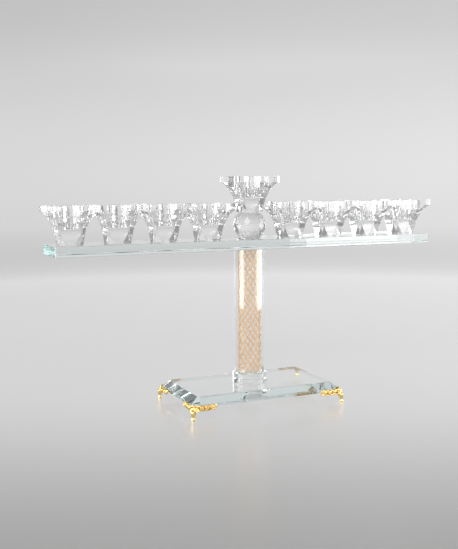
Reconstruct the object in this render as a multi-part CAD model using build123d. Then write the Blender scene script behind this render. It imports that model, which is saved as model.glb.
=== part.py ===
from build123d import *
import math
import os

# Crystal menorah: a bevelled glass base on four gilt feet, a bored glass column with a gilt net
# over crystal chips inside it, a glass crossbar, eight square cups on the bar, and a ninth,
# raised on a faceted crystal ball. Millimetres, +Z up, +X along the crossbar.
# The origin is on the table, on the column's axis.

# Crossbar and the places of the cups.
cup_pitch = 46.0
cups_each_side = 4
bar_length = 407.0
bar_depth = 50.0
bar_thickness = 10.0
bar_arris = 0.8
bar_bottom = 158.0

# Base plate: a flat slab with a wide bevel above a short upright edge.
plate_length = 161.0
plate_width = 92.0
plate_thickness = 9.0
plate_bottom = 11.5
bevel_width = 7.0
bevel_height = 6.0
corner_clip = 6.0

# Column: a disc, a thick tube bored through, and what fills the bore.
disc_diameter = 35.0
disc_height = 11.0
disc_arris = 0.6
tube_diameter = 30.0
bore_diameter = 23.4
net_diameter = 23.2
net_wall = 1.2
filling_clearance = 0.1

# Cup, measured up from its own base. Its four sides stand upright at the foot, then flare out
# along an arc to an upright rim. A slanting facet trims each corner of the foot, and a recess in
# the middle of each side leaves four small blocks at the corners of the rim.
cup_side = 45.0
cup_height = 36.0
foot_half = 11.4
flare_start = 5.0
flare_radius = 36.1
flare_end = 29.3
rim_bottom = 30.3
corner_facet = 5.0
facet_top = 13.0
candle_bore_diameter = 16.0
candle_bore_depth = 20.5
notch_mouth = 32.0
notch_floor = 24.0
notch_depth = 4.8

# Faceted ball under the raised cup.
ball_radius = 16.7
ball_height = 26.0
ball_rows = 6
ball_facets = 16

# Gilt foot, for the corner that faces -X and -Y.
foot_arm = 20.0
foot_wall = 2.0
foot_seat_width = 5.0
foot_seat_bottom = 8.5
foot_wall_top = 14.5
scroll_diameter = 7.0
scroll_thickness = 3.0
scroll_height = 12.0
leg_top_side = 8.0
leg_ankle_diameter = 3.6
leg_ankle_height = 2.4
toe_diameter = 5.0
toe_arris = 0.7

plate_top = plate_bottom + plate_thickness
disc_top = plate_top + disc_height
bar_top = bar_bottom + bar_thickness
tube_length = bar_bottom - disc_top


def make_base_plate():
    slab = Box(plate_length, plate_width, plate_thickness)
    slab = chamfer(slab.edges().filter_by(Axis.Z), corner_clip)
    slab = chamfer(slab.faces().sort_by(Axis.Z)[-1].edges(), bevel_height, bevel_width)
    return Pos(0, 0, plate_bottom + plate_thickness / 2) * slab


def make_column_foot_disc():
    disc = Cylinder(disc_diameter / 2, disc_height)
    disc = chamfer(disc.edges().filter_by(GeomType.CIRCLE), disc_arris)
    return Pos(0, 0, plate_top + disc_height / 2) * disc


def ring(outer_diameter, inner_diameter, length):
    return Cylinder(outer_diameter / 2, length) - Cylinder(inner_diameter / 2, length)


def make_column_tube():
    return Pos(0, 0, disc_top + tube_length / 2) * ring(tube_diameter, bore_diameter, tube_length)


def make_column_net():
    sleeve = ring(net_diameter, net_diameter - 2 * net_wall, tube_length)
    return Pos(0, 0, disc_top + tube_length / 2) * sleeve


def make_crystal_filling():
    radius = net_diameter / 2 - net_wall - filling_clearance
    return Pos(0, 0, disc_top + tube_length / 2) * Cylinder(radius, tube_length)


def make_crossbar():
    bar = Box(bar_length, bar_depth, bar_thickness)
    bar = chamfer(bar.edges(), bar_arris)
    return Pos(0, 0, bar_bottom + bar_thickness / 2) * bar


def flare_half(height):
    """Half the cup's width on its flare, at a height."""
    return foot_half + flare_radius - math.sqrt(flare_radius**2 - (height - flare_start) ** 2)


def flared_solid():
    """Two crossed copies of the flared profile: what they share is square at every height."""
    half = cup_side / 2
    middle = (flare_start + flare_end) / 2
    flare = [(flare_half(height), height) for height in (flare_start, middle, flare_end)]
    right_side = [
        Line((foot_half, 0), (foot_half, flare_start)),
        ThreePointArc(*flare),
        Polyline(flare[-1], (half, rim_bottom), (half, cup_height)),
    ]
    left_side = [mirror(line, Plane.YZ) for line in right_side]
    bottom = Line((-foot_half, 0), (foot_half, 0))
    top = Line((-half, cup_height), (half, cup_height))
    profile = Plane.XZ * make_face([*right_side, *left_side, bottom, top])
    along_y = extrude(profile, half, both=True)
    return along_y & (Rot(0, 0, 90) * along_y)


def corner_trim():
    """What lies outside four slanting planes that cut each corner of the foot to a triangle."""
    facet_sides = [
        (0, math.sqrt(2) * (2 * foot_half - corner_facet)),
        (facet_top, math.sqrt(2) * 2 * flare_half(facet_top)),
    ]
    outlines = [Pos(0, 0, z) * Rot(0, 0, 45) * Rectangle(side, side) for z, side in facet_sides]
    kept = loft(outlines, ruled=True)
    block = Pos(0, 0, facet_top / 2) * Box(2 * cup_side, 2 * cup_side, facet_top)
    return block - kept


def notch_cutter():
    """The upright recess in the middle of one side. It runs out where the flare is further in."""
    half = cup_side / 2
    over = notch_depth / 2
    slope = (notch_mouth - notch_floor) / 2 / notch_depth
    outer = notch_mouth / 2 + slope * over
    plan = Polyline(
        (-notch_floor / 2, half - notch_depth),
        (notch_floor / 2, half - notch_depth),
        (outer, half + over),
        (-outer, half + over),
        close=True,
    )
    return Pos(0, 0, facet_top) * extrude(make_face(plan), cup_height)


def make_cup():
    cup = flared_solid() - corner_trim()
    notch = notch_cutter()
    for quarter in range(4):
        cup -= Rot(0, 0, 90 * quarter) * notch
    bore = Cylinder(candle_bore_diameter / 2, candle_bore_depth)
    return cup - Pos(0, 0, cup_height - candle_bore_depth / 2) * bore


def make_shamash_ball():
    steepest = math.asin(ball_height / 2 / ball_radius)
    sections = []
    for row in range(ball_rows + 1):
        latitude = steepest * (2 * row / ball_rows - 1)
        outline = RegularPolygon(ball_radius * math.cos(latitude), ball_facets)
        height = ball_height / 2 + ball_radius * math.sin(latitude)
        sections.append(Pos(0, 0, height) * outline)
    return Pos(0, 0, bar_top) * loft(sections, ruled=True)


def make_foot():
    """The front left foot, in place. It clasps the corner of the plate from outside and below."""
    corner = Vector(-plate_length / 2 - foot_wall, -plate_width / 2 - foot_wall)
    wall_height = foot_wall_top - foot_seat_bottom
    seat_height = plate_bottom - foot_seat_bottom
    reach = foot_arm + foot_wall
    align = (Align.MIN, Align.MIN, Align.MIN)
    walls = Box(reach, foot_wall, wall_height, align=align)
    walls += Box(foot_wall, reach, wall_height, align=align)
    seat = Box(reach, foot_seat_width, seat_height, align=align)
    seat += Box(foot_seat_width, reach, seat_height, align=align)
    bracket = Pos(corner.X, corner.Y, foot_seat_bottom) * (walls + seat)

    scroll = Rot(90, 0, 0) * Cylinder(scroll_diameter / 2, scroll_thickness)
    scroll_out = foot_wall - scroll_thickness / 2
    bracket += Pos(corner.X + reach, corner.Y + scroll_out, scroll_height) * scroll
    side_scroll = Rot(0, 90, 0) * Cylinder(scroll_diameter / 2, scroll_thickness)
    bracket += Pos(corner.X + scroll_out, corner.Y + reach, scroll_height) * side_scroll

    ankle = Circle(leg_ankle_diameter / 2)
    hip = Pos(leg_top_side / 2 - toe_diameter / 4, leg_top_side / 2 - toe_diameter / 4, 0)
    hip *= Rectangle(leg_top_side, leg_top_side)
    leg = loft([Pos(0, 0, leg_ankle_height) * ankle, Pos(0, 0, foot_seat_bottom) * hip])
    toe = Cylinder(toe_diameter / 2, leg_ankle_height, align=(Align.CENTER, Align.CENTER, Align.MIN))
    toe = chamfer(toe.edges().filter_by(GeomType.CIRCLE), toe_arris)
    return bracket + Pos(corner.X + foot_wall / 2, corner.Y + foot_wall / 2, 0) * (leg + toe)


def save(name, shape):
    shape.label = name
    export_step(shape, f"parts/{name}.step")


os.makedirs("parts", exist_ok=True)

save("base_plate", make_base_plate())
foot = make_foot()
other_side = mirror(foot, Plane.YZ)
save("foot_front_left", foot)
save("foot_front_right", other_side)
save("foot_back_left", mirror(foot, Plane.XZ))
save("foot_back_right", mirror(other_side, Plane.XZ))

save("column_foot_disc", make_column_foot_disc())
save("column_tube", make_column_tube())
save("column_net", make_column_net())
save("crystal_filling", make_crystal_filling())
save("crossbar", make_crossbar())

cup = make_cup()
steps = [step for step in range(-cups_each_side, cups_each_side + 1) if step != 0]
for number, step in enumerate(steps, start=1):
    save(f"cup_{number}", Pos(step * cup_pitch, 0, bar_top) * cup)
save("shamash_ball", make_shamash_ball())
save("shamash_cup", Pos(0, 0, bar_top + ball_height) * cup)
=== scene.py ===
from itertools import combinations
import math

import bpy
import numpy as np
from mathutils import Euler, Matrix, Vector


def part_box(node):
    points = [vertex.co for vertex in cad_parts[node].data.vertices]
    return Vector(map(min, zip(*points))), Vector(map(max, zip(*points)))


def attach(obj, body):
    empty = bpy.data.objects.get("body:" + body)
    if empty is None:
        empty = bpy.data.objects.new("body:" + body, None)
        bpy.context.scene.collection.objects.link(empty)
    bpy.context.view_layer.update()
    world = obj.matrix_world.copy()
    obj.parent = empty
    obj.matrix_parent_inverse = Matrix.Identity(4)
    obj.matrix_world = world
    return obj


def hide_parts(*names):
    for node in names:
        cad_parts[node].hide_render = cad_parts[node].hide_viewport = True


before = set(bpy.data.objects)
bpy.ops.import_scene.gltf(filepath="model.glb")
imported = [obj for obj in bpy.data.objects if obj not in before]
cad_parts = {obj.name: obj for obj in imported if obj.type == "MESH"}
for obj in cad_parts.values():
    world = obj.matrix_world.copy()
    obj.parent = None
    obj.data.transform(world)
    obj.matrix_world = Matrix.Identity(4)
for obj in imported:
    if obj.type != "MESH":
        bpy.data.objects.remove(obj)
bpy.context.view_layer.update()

# Crystal menorah. Lengths in the dictionaries are millimetres, and mm turns them into metres.
mm = 0.001
scene = bpy.context.scene
glue = 0.04 * mm  # glued faces of glass sink this far into each other, so that light crosses the joint
print("frame loaded:", len(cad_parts), "nodes")


# Quads of a grid: a point, the next one around it, the one past that along, and the next along.
# Wound so that rows that climb, with columns that run counterclockwise, face outwards.
def gridFaces(rows, columns, closedAround=True, closedAlong=False):
    along = np.arange(rows if closedAlong else rows - 1)[:, None]
    around = np.arange(columns if closedAround else columns - 1)[None, :]
    nextAlong = (along + 1) % rows
    nextAround = (around + 1) % columns
    corners = [along * columns + around, along * columns + nextAround,
               nextAlong * columns + nextAround, nextAlong * columns + around]
    return np.stack(corners, -1).reshape(-1, 4).tolist()


# Rings of points joined by quads, and the first and last ring filled in as end faces.
def cappedRings(rings):
    rows, columns = rings.shape[:2]
    faces = gridFaces(rows, columns)
    faces.append(list(range(columns))[::-1])
    faces.append(list(range((rows - 1) * columns, rows * columns)))
    return rings.reshape(-1, 3), faces


# A profile of (radius, height) carried round the Z axis: each of its points becomes one ring.
def turnedRings(profile, sides):
    profile = np.asarray(profile, float)
    angle = np.arange(sides) * 2 * math.pi / sides
    x = profile[:, :1] * np.cos(angle)
    y = profile[:, :1] * np.sin(angle)
    z = np.repeat(profile[:, 1:], sides, axis=1)
    return np.stack([x, y, z], -1)


# A smooth curve through a few values: cubic pieces whose slope at each value is the mean of its two sides.
def smoothThrough(values, t):
    values = np.asarray(values, float)
    slopes = np.gradient(values)
    place = np.clip(t, 0, 1) * (len(values) - 1)
    i = np.minimum(place.astype(int), len(values) - 2)
    f = place - i
    return (values[i] * (2 * f**3 - 3 * f**2 + 1) + values[i + 1] * (3 * f**2 - 2 * f**3)
            + slopes[i] * (f**3 - 2 * f**2 + f) + slopes[i + 1] * (f**3 - f**2))


# Several (vertices, faces) shapes as one.
def joined(shapes):
    vertices, faces, start = [], [], 0
    for points, polygons in shapes:
        vertices.append(points)
        faces += [[start + corner for corner in polygon] for polygon in polygons]
        start += len(points)
    return np.concatenate(vertices), faces


# A mesh object at the origin, from a vertex array in metres and a list of faces.
def addPiece(name, vertices, faces, material, smooth=False, sharpAngle=30):
    mesh = bpy.data.meshes.new(name)
    mesh.from_pydata(np.asarray(vertices).tolist(), [], faces)
    mesh.validate()
    mesh.polygons.foreach_set("use_smooth", np.full(len(mesh.polygons), smooth))
    if smooth:
        mesh.set_sharp_from_angle(angle=math.radians(sharpAngle))
    mesh.materials.append(material)
    piece = bpy.data.objects.new(name, mesh)
    scene.collection.objects.link(piece)
    return piece


# A number at each vertex, for the material to read.
def addAttribute(piece, name, values):
    attribute = piece.data.attributes.new(name, "FLOAT", "POINT")
    attribute.data.foreach_set("value", np.asarray(values, np.float32))


# Small polished arrises on every sharp edge.
def polish(piece, width, segments=2, angle=25):
    bevel = piece.modifiers.new("arris", "BEVEL")
    bevel.width = width * mm
    bevel.segments = segments
    bevel.limit_method = "ANGLE"
    bevel.angle_limit = math.radians(angle)
    bevel.harden_normals = True


# The piece stands for one part of the frame: that part is hidden, and the piece is attached to the root body.
def belongs(piece, node):
    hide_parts(node)
    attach(piece, "root")
    return piece


def setSockets(node, values):
    for name, value in values.items():
        node.inputs[name].default_value = value


def newMaterial(name, surface):
    material = bpy.data.materials.new(name)
    material.use_nodes = True
    shader = material.node_tree.nodes["Principled BSDF"]
    setSockets(shader, surface)
    return material, material.node_tree, shader


# A noise pattern on Object coordinates.
def objectNoise(tree, scale, detail=2.0, roughness=0.5):
    place = tree.nodes.new("ShaderNodeTexCoord")
    noise = tree.nodes.new("ShaderNodeTexNoise")
    setSockets(noise, {"Scale": scale, "Detail": detail, "Roughness": roughness})
    tree.links.new(place.outputs["Object"], noise.inputs["Vector"])
    return noise.outputs["Fac"]


# A value moved from one range to another.
def ranged(tree, value, low, high, newLow, newHigh):
    node = tree.nodes.new("ShaderNodeMapRange")
    setSockets(node, {"From Min": low, "From Max": high, "To Min": newLow, "To Max": newHigh})
    tree.links.new(value, node.inputs["Value"])
    return node.outputs["Result"]


def bumped(tree, shader, height, strength, distance):
    bump = tree.nodes.new("ShaderNodeBump")
    setSockets(bump, {"Strength": strength, "Distance": distance * mm})
    tree.links.new(height, bump.inputs["Height"])
    tree.links.new(bump.outputs["Normal"], shader.inputs["Normal"])


# Two colours mixed by a value.
def mixedColour(tree, value, first, second):
    mix = tree.nodes.new("ShaderNodeMix")
    mix.data_type = "RGBA"
    mix.inputs["A"].default_value = (*first, 1)
    mix.inputs["B"].default_value = (*second, 1)
    tree.links.new(value, mix.inputs["Factor"])
    return mix.outputs["Result"]


# Clear glass: a smooth surface, a tint that deepens with the way through it, faint smudges of haze
# and a slow wave left by the polishing.
def glassMaterial(name, looks):
    material, tree, shader = newMaterial(name, {
        "Base Color": (1, 1, 1, 1), "IOR": looks["ior"], "Transmission Weight": 1.0})
    absorb = tree.nodes.new("ShaderNodeVolumeAbsorption")
    setSockets(absorb, {"Color": (*looks["depthColour"], 1), "Density": looks["density"]})
    tree.links.new(absorb.outputs["Volume"], tree.nodes["Material Output"].inputs["Volume"])
    smudge = objectNoise(tree, looks["smudgeScale"], detail=3.0, roughness=0.55)
    tree.links.new(ranged(tree, smudge, 0.5, 0.85, 0.0, looks["haze"]), shader.inputs["Roughness"])
    wave = objectNoise(tree, looks["waveScale"], detail=1.0)
    bumped(tree, shader, wave, looks["waveStrength"], 0.2)
    return material


plateGlass = {"ior": 1.52, "depthColour": (0.50, 0.90, 0.87), "density": 2.5,
              "smudgeScale": 40.0, "haze": 0.03, "waveScale": 30.0, "waveStrength": 0.05}
columnGlass = {"ior": 1.50, "depthColour": (0.75, 0.93, 0.93), "density": 2.0,
               "smudgeScale": 60.0, "haze": 0.02, "waveScale": 40.0, "waveStrength": 0.04}
cutCrystal = {"ior": 1.54, "depthColour": (0.85, 0.90, 0.90), "density": 1.2,
              "smudgeScale": 80.0, "haze": 0.02, "waveScale": 60.0, "waveStrength": 0.04}
plateGlassMat = glassMaterial("plateGlass", plateGlass)
columnGlassMat = glassMaterial("columnGlass", columnGlass)
cutCrystalMat = glassMaterial("cutCrystal", cutCrystal)


# Corner points of a rectangle whose corners are cut off at 45 degrees, counterclockwise.
def clippedRectangle(halfLength, halfWidth, clip):
    points = []
    for sx, sy, turn in [(1, -1, 1), (1, 1, -1), (-1, 1, 1), (-1, -1, -1)]:
        pair = [(sx * (halfLength - clip), sy * halfWidth), (sx * halfLength, sy * (halfWidth - clip))]
        points += pair[::turn]
    return np.array(points)


# One clipped rectangle for each level of (half length, half width, corner clip, height).
def slabRings(levels, middle):
    rings = []
    for halfLength, halfWidth, clip, height in levels:
        outline = clippedRectangle(halfLength, halfWidth, clip) + (middle.x, middle.y)
        rings.append(np.column_stack([outline, np.full(len(outline), height)]))
    return np.array(rings)


basePlate = {"cornerClip": 6.0, "bevelWidth": 7.0, "bevelHeight": 6.0, "arris": 0.35}


def makeBasePlate():
    low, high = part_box("base_plate")
    half = (high - low) / 2
    inset = basePlate["bevelWidth"] * mm
    clip = basePlate["cornerClip"] * mm
    topClip = clip - inset * (2 - math.sqrt(2))  # the same 45 degree corner, moved in by the bevel
    shoulder = high.z - basePlate["bevelHeight"] * mm
    levels = [(half.x, half.y, clip, low.z), (half.x, half.y, clip, shoulder),
              (half.x - inset, half.y - inset, topClip, high.z)]
    vertices, faces = cappedRings(slabRings(levels, (low + high) / 2))
    piece = addPiece("basePlateGlass", vertices, faces, plateGlassMat, smooth=True)
    polish(piece, basePlate["arris"])
    belongs(piece, "base_plate")


crossbar = {"cornerClip": 0.8, "arris": 0.7}


def makeCrossbar():
    low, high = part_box("crossbar")
    half = (high - low) / 2
    clip = crossbar["cornerClip"] * mm
    levels = [(half.x, half.y, clip, low.z), (half.x, half.y, clip, high.z)]
    vertices, faces = cappedRings(slabRings(levels, (low + high) / 2))
    piece = addPiece("crossbarGlass", vertices, faces, plateGlassMat, smooth=True)
    polish(piece, crossbar["arris"], segments=1, angle=60)
    belongs(piece, "crossbar")


makeBasePlate()
makeCrossbar()
print("plates made")


column = {"sides": 160, "arris": 0.5, "boreDiameter": 23.4}


# A short cylinder with polished arrises.
def makeColumnDisc():
    low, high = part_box("column_foot_disc")
    radius = (high.x - low.x) / 2
    cut = column["arris"] * mm
    profile = [(radius - cut, low.z - glue), (radius, low.z + cut),
               (radius, high.z - cut), (radius - cut, high.z)]
    vertices, faces = cappedRings(turnedRings(profile, column["sides"]))
    piece = addPiece("columnDiscGlass", vertices, faces, columnGlassMat, smooth=True)
    belongs(piece, "column_foot_disc")


# A closed wall profile carried round: up the outside, over the top and down the bore.
def makeColumnTube():
    low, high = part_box("column_tube")
    outer = (high.x - low.x) / 2
    bore = column["boreDiameter"] / 2 * mm
    cut = column["arris"] * mm
    bottom, top = low.z - glue, high.z + glue
    profile = [(outer - cut, bottom), (outer, bottom + cut), (outer, top - cut), (outer - cut, top),
               (bore, top), (bore, bottom)]
    rings = turnedRings(profile, column["sides"])
    faces = gridFaces(len(profile), column["sides"], closedAlong=True)
    piece = addPiece("columnTubeGlass", rings.reshape(-1, 3), faces, columnGlassMat, smooth=True)
    belongs(piece, "column_tube")


makeColumnDisc()
makeColumnTube()
print("column glass made")


net = {
    "strands": 13, "threadDiameter": 0.9, "middleRadius": 10.9, "weave": 0.2, "endGap": 0.3,
    "cellHeight": 8.2, "threadSides": 8, "stepsPerCell": 14, "plyLength": 0.35,
    "colour": (0.96, 0.74, 0.46), "shade": (0.80, 0.50, 0.24), "metallic": 0.3, "roughness": 0.35,
    "wornScale": 900.0, "lift": 0.045,
}


# Metallic thread: a worn rose gilt over a darker core, with the ridges of its ply across the length. The lift
# is a faint glow, in place of the lamplight that the glass tube would carry round to it.
def threadMaterial():
    material, tree, shader = newMaterial("giltThread", {
        "Metallic": net["metallic"], "Anisotropic": 0.3, "Sheen Weight": 0.15,
        "Emission Color": (*net["colour"], 1), "Emission Strength": net["lift"]})
    worn = objectNoise(tree, net["wornScale"], detail=3.0)
    colour = mixedColour(tree, ranged(tree, worn, 0.35, 0.6, 0, 1), net["shade"], net["colour"])
    tree.links.new(colour, shader.inputs["Base Color"])
    tree.links.new(ranged(tree, worn, 0.3, 0.7, net["roughness"] + 0.2, net["roughness"]),
                   shader.inputs["Roughness"])
    ply = tree.nodes.new("ShaderNodeAttribute")
    ply.attribute_name = "ply"
    bumped(tree, shader, ply.outputs["Fac"], 0.5, 0.1)
    return material


# Two sets of strands that wind up the sleeve in opposite ways and cross over and under each other.
# A strand's angle is its share of a turn plus or minus the twist so far, its radius swings as the cosine of
# strands x twist, once for each pair of crossings, and a small circle is carried along it. In each cell's
# height a strand moves round by one strand's share, so the cells are as wide as the strands are apart.
def makeColumnNet():
    low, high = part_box("column_net")
    middle = (low + high) / 2
    count = net["strands"]
    gap = net["endGap"] * mm
    length = high.z - low.z - 2 * gap
    cells = length / mm / net["cellHeight"]
    t = np.linspace(0, 1, int(cells * net["stepsPerCell"]))
    twist = 2 * math.pi / count * cells * t
    height = low.z + gap + length * t
    swing = np.cos(count * twist)
    around = np.arange(net["threadSides"]) * 2 * math.pi / net["threadSides"]
    shapes, plies = [], []
    for way in (1, -1):
        radius = (net["middleRadius"] + way * net["weave"] * swing) * mm
        for strand in range(count):
            angle = strand * 2 * math.pi / count + way * twist
            path = np.column_stack([radius * np.cos(angle), radius * np.sin(angle), height])
            outward = np.column_stack([np.cos(angle), np.sin(angle), np.zeros_like(t)])
            forward = np.gradient(path, axis=0)
            forward /= np.linalg.norm(forward, axis=1, keepdims=True)
            sideways = np.cross(outward, forward)
            sideways /= np.linalg.norm(sideways, axis=1, keepdims=True)
            upward = np.cross(forward, sideways)
            ring = sideways[:, None] * np.cos(around)[:, None] + upward[:, None] * np.sin(around)[:, None]
            rings = path[:, None] + ring * net["threadDiameter"] / 2 * mm + (middle.x, middle.y, 0)
            shapes.append(cappedRings(rings))
            plies.append(np.repeat(np.sin(height / (net["plyLength"] * mm)), len(around)))
    vertices, faces = joined(shapes)
    piece = addPiece("columnNetThread", vertices, faces, threadMaterial(), smooth=True, sharpAngle=70)
    addAttribute(piece, "ply", np.concatenate(plies) * 0.5 + 0.5)
    belongs(piece, "column_net")


chips = {
    "shells": [(8.7, 22), (6.0, 15), (3.2, 8)],  # how far out each layer of chips lies, and chips to a turn
    "layerHeight": 2.3, "sizes": (1.1, 1.5), "seed": 18,
    "jitterAround": 0.22, "jitterOut": 0.25, "stretch": (0.75, 1.1), "deepestDent": 0.78, "endGap": 0.1,
    "warm": (0.96, 0.84, 0.72), "bright": (1.0, 0.98, 0.95), "frostScale": 700.0, "lift": 0.12,
}


# Crushed crystal: milky chips, each with its own shade from white to rose, and glossy broken faces. They have
# a faint glow too, for the same reason as the net.
def chipMaterial():
    material, tree, shader = newMaterial("crystalChips", {
        "IOR": 1.54, "Transmission Weight": 0.1, "Coat Weight": 0.6, "Coat Roughness": 0.04,
        "Emission Color": (*chips["bright"], 1), "Emission Strength": chips["lift"]})
    own = tree.nodes.new("ShaderNodeAttribute")
    own.attribute_name = "shade"
    warm = mixedColour(tree, own.outputs["Fac"], chips["warm"], chips["bright"])
    tree.links.new(warm, shader.inputs["Base Color"])
    frost = objectNoise(tree, chips["frostScale"], detail=3.0)
    tree.links.new(ranged(tree, frost, 0.4, 0.7, 0.08, 0.45), shader.inputs["Roughness"])
    bumped(tree, shader, frost, 0.25, 0.15)
    return material


# The twelve corners of an icosahedron of radius one, and its twenty faces.
def icosahedron():
    golden = (1 + math.sqrt(5)) / 2
    flat = np.array([(0, sy, sz * golden) for sy in (-1, 1) for sz in (-1, 1)])
    corners = np.concatenate([flat, np.roll(flat, 1, axis=1), np.roll(flat, 2, axis=1)])
    edgeLength = 2.0
    near = np.linalg.norm(corners[:, None] - corners[None], axis=2) < 1.05 * edgeLength
    faces = []
    for a, b, c in combinations(range(len(corners)), 3):
        if near[a, b] and near[b, c] and near[a, c]:
            normal = np.cross(corners[b] - corners[a], corners[c] - corners[a])
            faces.append([a, b, c] if np.dot(normal, corners[a]) > 0 else [a, c, b])
    return corners / np.linalg.norm(corners[0]), np.array(faces)


# Layers of chips round the axis. Each is the icosahedron with its corners pushed in and out, stretched,
# turned by a random rotation and moved to a jittered place on its shell.
def makeFilling():
    low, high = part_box("crystal_filling")
    middle = (low + high) / 2
    draw = np.random.default_rng(chips["seed"])
    corners, triangles = icosahedron()
    smallest, largest = chips["sizes"]
    aroundJitter, outJitter, gap = chips["jitterAround"], chips["jitterOut"], chips["endGap"] * mm
    places = []
    for shellRadius, perTurn in chips["shells"]:
        layers = int((high.z - low.z) / mm / chips["layerHeight"])
        layer, share = np.meshgrid(np.arange(layers), np.arange(perTurn), indexing="ij")
        step = share + 0.5 * (layer % 2) + draw.uniform(-aroundJitter, aroundJitter, share.shape)
        angle = step * 2 * math.pi / perTurn
        rise = (high.z - low.z - 2 * largest * mm) / (layers - 1)
        height = low.z + largest * mm + layer * rise
        out = (shellRadius + draw.uniform(-outJitter, outJitter, share.shape)) * mm
        places.append(np.stack([out * np.cos(angle), out * np.sin(angle), height], -1).reshape(-1, 3))
    places = np.concatenate(places)
    count = len(places)
    turns, _ = np.linalg.qr(draw.normal(size=(count, 3, 3)))
    turns *= np.sign(np.linalg.det(turns))[:, None, None]  # a turn, never a mirror
    size = draw.uniform(smallest, largest, (count, 1, 1)) * mm
    stretch = draw.uniform(*chips["stretch"], (count, 1, 3))
    dents = draw.uniform(chips["deepestDent"], 1.0, (count, len(corners), 1))
    shapes = (corners * stretch * dents * size) @ turns + places[:, None]
    shapes += (middle.x, middle.y, 0)
    shapes[..., 2] = np.clip(shapes[..., 2], low.z + gap, high.z - gap)
    faces = (triangles[None] + len(corners) * np.arange(count)[:, None, None]).reshape(-1, 3)
    piece = addPiece("crystalFillingChips", shapes.reshape(-1, 3), faces.tolist(), chipMaterial())
    addAttribute(piece, "shade", np.repeat(draw.uniform(0, 1, count), len(corners)))
    belongs(piece, "crystal_filling")


makeColumnNet()
makeFilling()
print("net and chips made")


cup = {
    "footHalf": 11.4, "flareStart": 5.0, "flareRadius": 36.1, "flareEnd": 29.3, "rimBottom": 30.3,
    "cornerFacet": 5.0, "facetTop": 13.0, "cornerArris": 0.4,
    "notchFloorHalf": 12.0, "notchMouthHalf": 16.0, "notchDepth": 4.8,
    "boreDiameter": 16.0, "boreDepth": 20.5, "boreArris": 0.3, "arris": 0.2, "landBesideNotch": 0.5,
}


# Half the width at a height: upright, then the start of a quarter circle, then straight out to the rim.
def cupHalf(height, rimHalf):
    swing = np.clip(height, cup["flareStart"], cup["flareEnd"]) - cup["flareStart"]
    half = cup["footHalf"] + cup["flareRadius"] - np.sqrt(cup["flareRadius"] ** 2 - swing**2)
    lip = np.clip((height - cup["flareEnd"]) / (cup["rimBottom"] - cup["flareEnd"]), 0, 1)
    return half + lip * (rimHalf - half)


# The outline at each height is a square with cut corners and a recess in the middle of each side. One side
# is a broken line through seven corners, given extra points at even fractions, and turned by quarters for
# the rest. The recess's floor is upright, so it ends at the height where the flare comes in to meet it.
def cupRings(rimHalf, top):
    facetTop = cup["facetTop"]
    innermost = rimHalf - cup["notchDepth"]
    reach = innermost - cup["footHalf"]
    notchEnd = cup["flareStart"] + math.sqrt(2 * cup["flareRadius"] * reach - reach**2)
    heights = np.concatenate([np.linspace(0, facetTop, 6), np.linspace(facetTop, notchEnd, 7)[1:],
                              np.linspace(notchEnd, cup["flareEnd"], 4)[1:], [cup["rimBottom"], top]])
    half = cupHalf(heights, rimHalf)
    footCorner = 2 * cup["footHalf"] - cup["cornerFacet"]  # x + y on the slanting facet, at its foot
    topCorner = 2 * cupHalf(np.array(facetTop), rimHalf)
    facet = 2 * half - footCorner - (topCorner - footCorner) * heights / facetTop
    clip = np.maximum(np.where(heights < facetTop, facet, 0), cup["cornerArris"])
    floorOut = np.minimum(half, innermost)
    floorHalf = np.minimum(cup["notchFloorHalf"], half - clip - cup["landBesideNotch"])
    widening = (cup["notchMouthHalf"] - cup["notchFloorHalf"]) / cup["notchDepth"]
    widestMouth = half - clip - cup["landBesideNotch"] / 2
    mouth = np.minimum(floorHalf + widening * np.maximum(0, half - innermost), widestMouth)
    zero = np.zeros_like(half)
    keyX = np.array([clip - half, -mouth, -floorHalf, zero, floorHalf, mouth, half - clip])
    keyY = -np.array([half, half, floorOut, floorOut, floorOut, half, half])
    stations = np.concatenate([np.linspace(0, 2, 5), np.linspace(2, 4, 9)[1:], np.linspace(4, 6, 5)[1:]])
    before = np.minimum(stations.astype(int), len(keyX) - 2)
    part = (stations - before)[:, None]
    x = keyX[before] * (1 - part) + keyX[before + 1] * part
    y = keyY[before] * (1 - part) + keyY[before + 1] * part
    sides = [np.stack([x, y]), np.stack([-y, x]), np.stack([-x, -y]), np.stack([y, -x])]
    outline = np.concatenate(sides, axis=1).transpose(2, 1, 0)
    return np.concatenate([outline, np.broadcast_to(heights[:, None, None], (*outline.shape[:2], 1))], -1)


# The outlines, then the bore: its mouth, a small arris, and its flat floor, with points on the same bearings.
def cupShape(rimHalf, top):
    rings = cupRings(rimHalf, top)
    rim = rings[-1]
    bearings = np.arctan2(rim[:, 1], rim[:, 0])
    radius, arris = cup["boreDiameter"] / 2, cup["boreArris"]
    across = np.array([radius + arris, radius, radius])[:, None]
    height = np.array([top, top - arris, top - cup["boreDepth"]])[:, None] + 0 * bearings
    bore = np.stack([across * np.cos(bearings), across * np.sin(bearings), height], -1)
    return cappedRings(np.concatenate([rings, bore]))


def makeCups():
    pieces = {f"cup_{number}": f"cup{number}Crystal" for number in range(1, 9)}
    pieces["shamash_cup"] = "shamashCupCrystal"
    for node, name in pieces.items():
        low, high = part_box(node)
        middle = (low + high) / 2
        vertices, faces = cupShape((high.x - low.x) / 2 / mm, (high.z - low.z) / mm)
        vertices = vertices * mm
        vertices[:, 2] = np.where(vertices[:, 2] == 0, -glue, vertices[:, 2])
        vertices += (middle.x, middle.y, low.z)
        piece = addPiece(name, vertices, faces, cutCrystalMat, smooth=True, sharpAngle=20)
        polish(piece, cup["arris"], angle=20)
        belongs(piece, node)


makeCups()
print("cups made")


ball = {"radius": 16.7, "rows": 6, "facets": 16}


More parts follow.
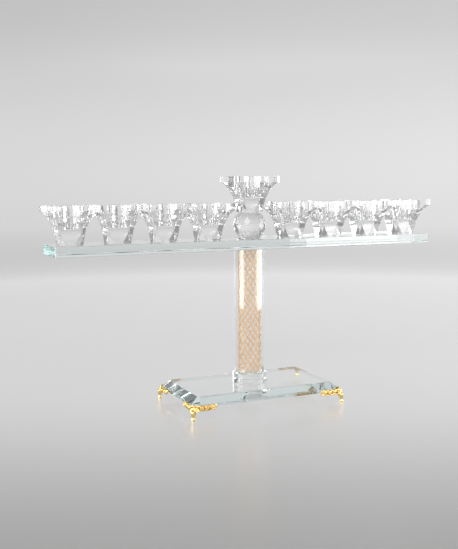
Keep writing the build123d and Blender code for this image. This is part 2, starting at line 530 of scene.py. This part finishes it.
# Rows of points round a sphere cut flat at both ends. Each row is turned half a facet past the one below,
# and the flat triangles between rows are the cut facets.
def makeBall():
    low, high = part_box("shamash_ball")
    middle = (low + high) / 2
    radius = ball["radius"] * mm
    rows, count = ball["rows"], ball["facets"]
    steepest = math.asin((high.z - low.z) / 2 / radius)
    latitude = np.linspace(-steepest, steepest, rows + 1)[:, None]
    halfTurns = np.arange(rows + 1)[:, None] % 2 * 0.5
    angle = (np.arange(count)[None, :] + halfTurns) * 2 * math.pi / count
    x = radius * np.cos(latitude) * np.cos(angle) + middle.x
    y = radius * np.cos(latitude) * np.sin(angle) + middle.y
    z = radius * np.sin(latitude) + middle.z + 0 * angle
    z[0] -= glue
    faces = []
    for row in range(rows):
        here = row * count + np.arange(count)
        after = row * count + (np.arange(count) + 1) % count
        if row % 2 == 0:
            pairs = [(here, after, here + count), (after, after + count, here + count)]
        else:
            pairs = [(here, after + count, here + count), (here, after, after + count)]
        faces += [np.stack(corners, -1).tolist() for corners in pairs]
    faces = [triangle for group in faces for triangle in group]
    faces.append(list(range(count))[::-1])
    faces.append(list(range(rows * count, (rows + 1) * count)))
    piece = addPiece("shamashBallCrystal", np.stack([x, y, z], -1).reshape(-1, 3), faces, cutCrystalMat)
    belongs(piece, "shamash_ball")


makeBall()
print("ball made")


foot = {
    "bendRadius": 6.0, "armLength": 18.7, "topRail": 13.6, "lowRail": 9.0, "railRadius": 0.68,
    "scrollHeight": 11.7, "scrollRadius": 2.9, "scrollTurns": 1.6, "scrollThread": 0.8,
    "scrollTightening": 0.74,
    "innerScrolls": [(7.2, 2.0, 1), (12.4, 1.9, -1)], "innerThread": 0.55,
    "buds": [4.4, 9.8, 15.0], "beadRadius": 0.8, "lobes": 7,
    "wallOut": (0.3, 0.9), "wallHeights": (9.0, 13.5), "wallShort": 1.2,
    "ledge": 4.4, "ledgeThickness": 0.8, "ledgeShort": 2.5, "plateGap": 0.3,
    "rippleLength": 5.2, "topRipple": 0.35, "lowRipple": 0.25, "lowRailStart": 2.5,
    "railOut": 1.2, "lowRailOut": 1.1, "scrollOut": 1.3, "innerOut": 1.5,  # how far each stands proud
    "innerHeight": 11.3, "innerTurns": 1.35,
    "budBottom": 9.1, "budHeight": 4.4, "budRadius": 0.35, "budSwell": 0.5, "budBow": 0.5,
    "fanFoot": 8.4, "fanReach": 6.2, "fanTaper": 2.2, "fanSpread": 1.15,
    "fanOut": 3.1, "fanLean": 1.5, "fanBulge": 0.8, "lobeRadius": 0.45, "lobeSwell": 0.65,
    "legHeight": 10.5, "legOut": [2.0, 2.4, 2.9, 3.5, 3.8, 3.8, 3.9, 3.9],
    "legRadius": [1.2, 3.1, 3.0, 2.4, 1.7, 1.4, 2.0, 1.9],
    "legRings": 40, "legSides": 36, "legFlutes": 6, "fluteDepth": 0.07,
    "reliefStart": 0.5, "reliefDepth": 1.4, "grainScale": 1400.0, "cloudScale": 180.0,
    # The second of these two colours is painted shade for the recesses, not a colour of the metal.
    "crest": (1.0, 0.74, 0.30), "recess": (0.62, 0.36, 0.10), "roughness": 0.13,
}


# Polished gilt casting with a fine cast grain, rougher in the recesses. Its colour runs from bright gold on
# the crests to brown in the recesses, and that brown is painted shade.
def giltMaterial():
    material, tree, shader = newMaterial("giltMetal", {"Metallic": 1.0})
    relief = tree.nodes.new("ShaderNodeAttribute")
    relief.attribute_name = "relief"
    grain = objectNoise(tree, foot["grainScale"], detail=4.0, roughness=0.6)
    cloud = objectNoise(tree, foot["cloudScale"])
    raised = tree.nodes.new("ShaderNodeMath")
    raised.operation = "MULTIPLY_ADD"
    raised.inputs[1].default_value = 1.3
    tree.links.new(relief.outputs["Fac"], raised.inputs[0])
    tree.links.new(ranged(tree, cloud, 0.3, 0.7, -0.25, 0.1), raised.inputs[2])
    tree.links.new(mixedColour(tree, raised.outputs["Value"], foot["recess"], foot["crest"]),
                   shader.inputs["Base Color"])
    tree.links.new(ranged(tree, raised.outputs["Value"], 0, 1, foot["roughness"] + 0.22, foot["roughness"]),
                   shader.inputs["Roughness"])
    bumped(tree, shader, grain, 0.3, 0.05)
    return material


# A place on the foot: s along its arms from the corner, minus up the side and plus along the front, z above
# the table, and out from the line that runs round the plate's corner as a quarter circle and two straights.
def armPoint(s, z, out):
    bend = foot["bendRadius"]
    turn = np.clip(s / bend, -math.pi / 4, math.pi / 4)
    straight = s - turn * bend
    angle = 5 * math.pi / 4 + turn
    x = bend + (bend + out) * np.cos(angle) + np.maximum(straight, 0)
    y = bend + (bend + out) * np.sin(angle) + np.maximum(-straight, 0)
    return np.stack([x, y, z + 0 * s], -1), np.stack([np.cos(angle), np.sin(angle), 0 * angle], -1)


# A round thread of metal that follows a line over the foot's face: a circle carried along the line, with its
# radius easing to nothing at both ends.
def threadShape(s, z, out, radius, sides=8):
    t = np.linspace(-1, 1, len(s))
    radius = radius * np.sqrt(np.clip(1.001 - t**8, 0, 1))
    path, outward = armPoint(s, z, out + 0 * s)
    forward = np.gradient(path, axis=0)
    forward /= np.linalg.norm(forward, axis=1, keepdims=True)
    sideways = np.cross(outward, forward)
    sideways /= np.linalg.norm(sideways, axis=1, keepdims=True)
    around = np.arange(sides) * 2 * math.pi / sides
    ring = sideways[:, None] * np.cos(around)[:, None] + outward[:, None] * np.sin(around)[:, None]
    return cappedRings(path[:, None] + ring * radius[:, None, None])


# A thread wound as a spiral: its distance from the middle shrinks evenly as it turns.
def scrollShape(s, z, radius, turns, way, start, thread, out):
    t = np.linspace(0, 1, 44)
    angle = start + way * turns * 2 * math.pi * t
    spiral = radius * (1 - foot["scrollTightening"] * t)
    return threadShape(s + spiral * np.cos(angle), z + spiral * np.sin(angle), out, thread * (1 - 0.3 * t))


# A bead: a half circle of (radius, height) turned round, set on the foot's face.
def beadShape(s, z, out, radius):
    bend = np.linspace(-math.pi / 2, math.pi / 2, 8)
    rings = turnedRings(np.column_stack([np.cos(bend) + 0.02, np.sin(bend)]) * radius, 12)
    centre, _ = armPoint(np.array([s], float), z, out)
    vertices, faces = cappedRings(rings)
    return vertices + centre[0], faces


# A closed rectangle of (out, height) carried along the arms.
def bandShape(reach, outs, heights):
    s = np.linspace(-reach, reach, 60)
    corners = [(outs[0], heights[0]), (outs[1], heights[0]), (outs[1], heights[1]), (outs[0], heights[1])]
    rings = np.stack([armPoint(s, np.full_like(s, z), out)[0] for out, z in corners], axis=1)
    return cappedRings(rings)


# The leg: rings of changing radius stacked along a bowed line, fluted as a cosine of the angle.
def legShape():
    t = np.linspace(0, 1, foot["legRings"])
    radius = smoothThrough(foot["legRadius"], t)
    height = foot["legHeight"] * (1 - t)
    centre, _ = armPoint(np.zeros_like(t), height, smoothThrough(foot["legOut"], t))
    around = np.arange(foot["legSides"]) * 2 * math.pi / foot["legSides"]
    flute = 1 + foot["fluteDepth"] * np.cos(foot["legFlutes"] * around)
    ring = np.stack([np.cos(around) * flute, np.sin(around) * flute, 0 * around], -1)
    return cappedRings((centre[:, None] + ring * radius[:, None, None])[::-1])


# Along one arm: the lower rail, a big scroll at the end with a bead in its eye, two small scrolls that wind
# opposite ways, and buds between them that swell in the middle as a squared sine.
def armShapes(side):
    arm, bead = foot["armLength"], foot["beadRadius"]
    low = np.linspace(foot["lowRailStart"], arm, 50)
    dip = foot["lowRail"] + foot["lowRipple"] * np.cos(2 * math.pi * low / foot["rippleLength"])
    shapes = [threadShape(side * low, dip, foot["lowRailOut"], foot["railRadius"] * 0.9)]
    shapes.append(scrollShape(side * arm, foot["scrollHeight"], foot["scrollRadius"], foot["scrollTurns"],
                              -side, math.pi / 2, foot["scrollThread"], foot["scrollOut"]))
    shapes.append(beadShape(side * arm, foot["scrollHeight"], foot["scrollOut"], bead * 1.25))
    for place, radius, way in foot["innerScrolls"]:
        shapes.append(scrollShape(side * place, foot["innerHeight"], radius, foot["innerTurns"],
                                  side * way, way * math.pi / 2, foot["innerThread"], foot["innerOut"]))
        shapes.append(beadShape(side * place, foot["innerHeight"], foot["innerOut"] + 0.1, bead * 0.8))
    for place in foot["buds"]:
        t = np.linspace(0, 1, 16)
        bow = foot["budBow"] * np.sin(math.pi * t)
        swell = foot["budRadius"] + foot["budSwell"] * np.sin(math.pi * t) ** 2
        height = foot["budBottom"] + foot["budHeight"] * t
        shapes.append(threadShape(side * (place + bow), height, foot["railOut"], swell))
        shapes.append(beadShape(side * place, foot["topRail"] + 0.3, foot["innerOut"], bead * 0.7))
    return shapes


# The shell at the corner: lobes that lean out from one place like a fan, the middle one longest, each bulging
# outwards as a sine and thickest past its middle.
def fanShapes():
    shapes = []
    t = np.linspace(0, 1, 18)
    for lean in np.linspace(-1, 1, foot["lobes"]):
        reach = foot["fanReach"] - foot["fanTaper"] * abs(lean)
        turn = foot["fanSpread"] * lean
        s = reach * t * math.sin(turn) + 1e-4 * t
        z = foot["fanFoot"] + reach * t * math.cos(turn)
        out = foot["fanOut"] - foot["fanLean"] * t + foot["fanBulge"] * np.sin(math.pi * t)
        swell = foot["lobeRadius"] + foot["lobeSwell"] * np.sin(math.pi * t**1.4)
        shapes.append(threadShape(s, z, out, swell))
    return shapes


# The whole front left foot, in millimetres from the plate's corner.
def footShape(plateBottom):
    arm = foot["armLength"]
    s = np.linspace(-arm, arm, 120)
    ripple = foot["topRipple"] * np.cos(2 * math.pi * s / foot["rippleLength"])
    shapes = [threadShape(s, foot["topRail"] + ripple, foot["railOut"], foot["railRadius"])]
    shapes += armShapes(-1) + armShapes(1) + fanShapes()
    shapes.append(bandShape(arm - foot["wallShort"], foot["wallOut"], foot["wallHeights"]))
    under = plateBottom - foot["plateGap"]
    ledge = ((-foot["ledge"], foot["wallOut"][1]), (under - foot["ledgeThickness"], under))
    shapes.append(bandShape(arm - foot["ledgeShort"], *ledge))
    shapes.append(legShape())
    vertices, faces = joined(shapes)
    vertices[:, 2] = np.clip(vertices[:, 2], 0, None)
    return vertices, faces


# Four copies, one for each corner of the plate. A copy mirrored once has its faces turned back round.
def makeFeet():
    plateLow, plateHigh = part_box("base_plate")
    vertices, faces = footShape(plateLow.z / mm)
    bend = foot["bendRadius"]
    # relief is 1 on the crests and 0 deep in the recesses. The material uses it to lay painted shade and
    # extra roughness into the recesses.
    fromBend = np.linalg.norm(np.minimum(vertices[:, :2] - bend, 0), axis=1)
    relief = np.clip((fromBend - bend - foot["reliefStart"]) / foot["reliefDepth"], 0, 1)  # 1 on the crests
    material = giltMaterial()
    for node, sx, sy in [("foot_front_left", 1, 1), ("foot_front_right", -1, 1),
                         ("foot_back_left", 1, -1), ("foot_back_right", -1, -1)]:
        corner = (plateLow.x if sx > 0 else plateHigh.x, plateLow.y if sy > 0 else plateHigh.y, 0)
        turned = faces if sx * sy > 0 else [face[::-1] for face in faces]
        words = node.split("_")
        name = words[0] + words[1].capitalize() + words[2].capitalize() + "Gilt"
        placed = vertices * (sx * mm, sy * mm, mm) + corner
        piece = addPiece(name, placed, turned, material, smooth=True, sharpAngle=50)
        addAttribute(piece, "relief", relief)
        belongs(piece, node)


makeFeet()
print("feet made")


cameraSetup = {"place": (-0.3729, -0.7805, 0.2298), "yaw": 24.16, "tilt": -6.53, "roll": -0.275, "lens": 56.1}

studio = {
    "floorRadius": 1.15, "coveRadius": 0.55, "wallTop": 1.6, "sides": 96,
    "floorColour": (0.14, 0.139, 0.138), "floorRoughness": 0.25, "floorSheen": 0.45,
    # The floor's glow is painted light. Its low stop, 0.42 m towards the camera, is a painted shadow.
    "floorGlow": [(-1.15, 0.56), (-0.7, 0.48), (-0.42, 0.12), (-0.2, 0.365),
                  (0.0, 0.465), (0.3, 0.42), (1.15, 0.42)],
    "wallGlow": [(0.0, 0.50), (0.25, 0.70), (0.65, 0.48), (1.6, 0.27)],
    "sideGlow": (0.95, 1.09), "ceiling": 0.42,
}


# A colour ramp over a span of metres, from (place, brightness) pairs.
def glowRamp(tree, value, stops):
    first, last = stops[0][0], stops[-1][0]
    node = tree.nodes.new("ShaderNodeValToRGB")
    ramp = node.color_ramp
    ramp.interpolation = "B_SPLINE"
    while len(ramp.elements) < len(stops):
        ramp.elements.new(0.5)
    for element, (place, brightness) in zip(ramp.elements, stops):
        element.position = (place - first) / (last - first)
        element.color = (brightness, brightness, brightness, 1)
    tree.links.new(ranged(tree, value, first, last, 0, 1), node.inputs["Fac"])
    return node.outputs["Color"]


# A round floor that bends up into a wall: flat, then a quarter circle, then upright, turned round the Z axis.
# It gives off a little light of its own, like the sheet of a light tent: over the floor by how far back a
# place is, up the wall by its height, and a touch more on the right. This glow is painted light. It darkens
# higher up the wall, and its dip on the floor between the camera and the column is a painted shadow.
def makeStudio():
    bend = np.linspace(0, math.pi / 2, 17)
    cove = studio["coveRadius"]
    flat = [(radius, 0.0) for radius in np.linspace(0.01, studio["floorRadius"], 20)]
    rise = [(studio["floorRadius"] + cove * math.sin(b), cove * (1 - math.cos(b))) for b in bend[1:]]
    wall = [(rise[-1][0], height) for height in np.linspace(cove, studio["wallTop"], 6)[1:]]
    rings = turnedRings(flat + rise + wall, studio["sides"])
    faces = [face[::-1] for face in gridFaces(rings.shape[0], studio["sides"])]
    faces.append(list(range(studio["sides"])))
    material, tree, shader = newMaterial("studioFloor", {
        "Base Color": (*studio["floorColour"], 1), "Roughness": studio["floorRoughness"],
        "Specular IOR Level": studio["floorSheen"], "Emission Color": (1, 1, 1, 1)})
    place = tree.nodes.new("ShaderNodeTexCoord")
    turn = tree.nodes.new("ShaderNodeMapping")
    setSockets(turn, {"Rotation": (0, 0, math.radians(cameraSetup["yaw"]))})
    split = tree.nodes.new("ShaderNodeSeparateXYZ")
    tree.links.new(place.outputs["Object"], turn.inputs["Vector"])
    tree.links.new(turn.outputs["Vector"], split.inputs["Vector"])
    overFloor = glowRamp(tree, split.outputs["Y"], studio["floorGlow"])
    upWall = glowRamp(tree, split.outputs["Z"], studio["wallGlow"])
    which = tree.nodes.new("ShaderNodeMix")
    tree.links.new(ranged(tree, split.outputs["Z"], 0.0, 0.1, 0, 1), which.inputs["Factor"])
    tree.links.new(overFloor, which.inputs["A"])
    tree.links.new(upWall, which.inputs["B"])
    glow = tree.nodes.new("ShaderNodeMath")
    glow.operation = "MULTIPLY"
    tree.links.new(which.outputs["Result"], glow.inputs[0])
    tree.links.new(ranged(tree, split.outputs["X"], -0.6, 0.6, *studio["sideGlow"]), glow.inputs[1])
    tree.links.new(glow.outputs["Value"], shader.inputs["Emission Strength"])
    floor = addPiece("floor", rings.reshape(-1, 3), faces, material, smooth=True)
    return floor


# A place round the column, so many degrees to the right of the camera's own bearing as seen from above.
def bearing(degrees, distance, height):
    angle = math.radians(cameraSetup["yaw"] - degrees)
    return (-math.sin(angle) * distance, -math.cos(angle) * distance, height)


# Degrees are round the column from the camera's bearing, and aim is the height on the column that a lamp
# faces. The low side lamps would burn out the sheet beside them, so they don't light it.
lamps = {
    "leftSoftbox": {"degrees": -69, "distance": 0.60, "height": 0.17, "aim": 0.17,
                    "size": (0.44, 0.33), "brightness": 6.0, "lightsFloor": False},
    "frontSoftbox": {"degrees": 0, "distance": 0.95, "height": 0.78, "aim": 0.12,
                     "size": (0.90, 0.50), "brightness": 4.0, "lightsFloor": True},
    "rightSoftbox": {"degrees": 86, "distance": 0.58, "height": 0.17, "aim": 0.17,
                     "size": (0.66, 0.33), "brightness": 4.5, "lightsFloor": False},
}


# A rectangular lamp that faces the column. Its power is its brightness times pi times its area.
def softbox(name, setup, shaded):
    light = bpy.data.lights.new(name, "AREA")
    light.shape = "RECTANGLE"
    light.size, light.size_y = setup["size"]
    light.energy = setup["brightness"] * math.pi * setup["size"][0] * setup["size"][1]
    lamp = bpy.data.objects.new(name, light)
    scene.collection.objects.link(lamp)
    lamp.location = bearing(setup["degrees"], setup["distance"], setup["height"])
    target = Vector((0, 0, setup["aim"]))
    lamp.rotation_euler = (target - lamp.location).to_track_quat("-Z", "Y").to_euler()
    lamp.visible_camera = False
    if not setup["lightsFloor"]:
        lamp.light_linking.receiver_collection = shaded


flags = {"distance": 1.0, "bottom": 0.10, "top": 0.9, "brightness": 0.24,
         "spans": [(30, 58), (120, 148), (216, 236), (242, 266)]}


# Dark boards beyond the lamps and out of the picture, for the cut faces to pick up. Each is an upright sheet
# along part of a circle round the column, between two bearings.
def makeFlags():
    material, _, _ = newMaterial("flagCloth", {
        "Base Color": (0.04, 0.04, 0.04, 1), "Roughness": 0.9, "Emission Color": (1, 1, 1, 1),
        "Emission Strength": flags["brightness"]})
    shapes = []
    for span in flags["spans"]:
        degrees = np.linspace(*span, 9)
        heights = (flags["bottom"], flags["top"])
        edges = [bearing(turn, flags["distance"], z) for z in heights for turn in degrees]
        faces = gridFaces(2, len(degrees), closedAround=False)
        shapes.append((np.array(edges), [face[::-1] for face in faces]))
    boards = addPiece("flags", *joined(shapes), material)
    boards.visible_camera = False


floor = makeStudio()
makeFlags()
offTheFloor = bpy.data.collections.new("offTheFloor")
offTheFloor.objects.link(floor)
offTheFloor.collection_objects[0].light_linking.link_state = "EXCLUDE"
for name, setup in lamps.items():
    softbox(name, setup, offTheFloor)

world = bpy.data.worlds.new("studioAir")
world.use_nodes = True
setSockets(world.node_tree.nodes["Background"], {"Color": (studio["ceiling"],) * 3 + (1,), "Strength": 1.0})
scene.world = world
scene.view_settings.view_transform = "Standard"
scene.cycles.max_bounces = 28
scene.cycles.transmission_bounces = 28
scene.cycles.glossy_bounces = 16

camera = bpy.data.objects.new("camera", bpy.data.cameras.new("camera"))
scene.collection.objects.link(camera)
look = Euler((math.radians(90 + cameraSetup["tilt"]), 0, -math.radians(cameraSetup["yaw"]))).to_matrix()
look = look @ Matrix.Rotation(math.radians(cameraSetup["roll"]), 3, "Z")
camera.matrix_world = Matrix.Translation(cameraSetup["place"]) @ look.to_4x4()
camera.data.lens = cameraSetup["lens"]
scene.camera = camera
print("studio made")
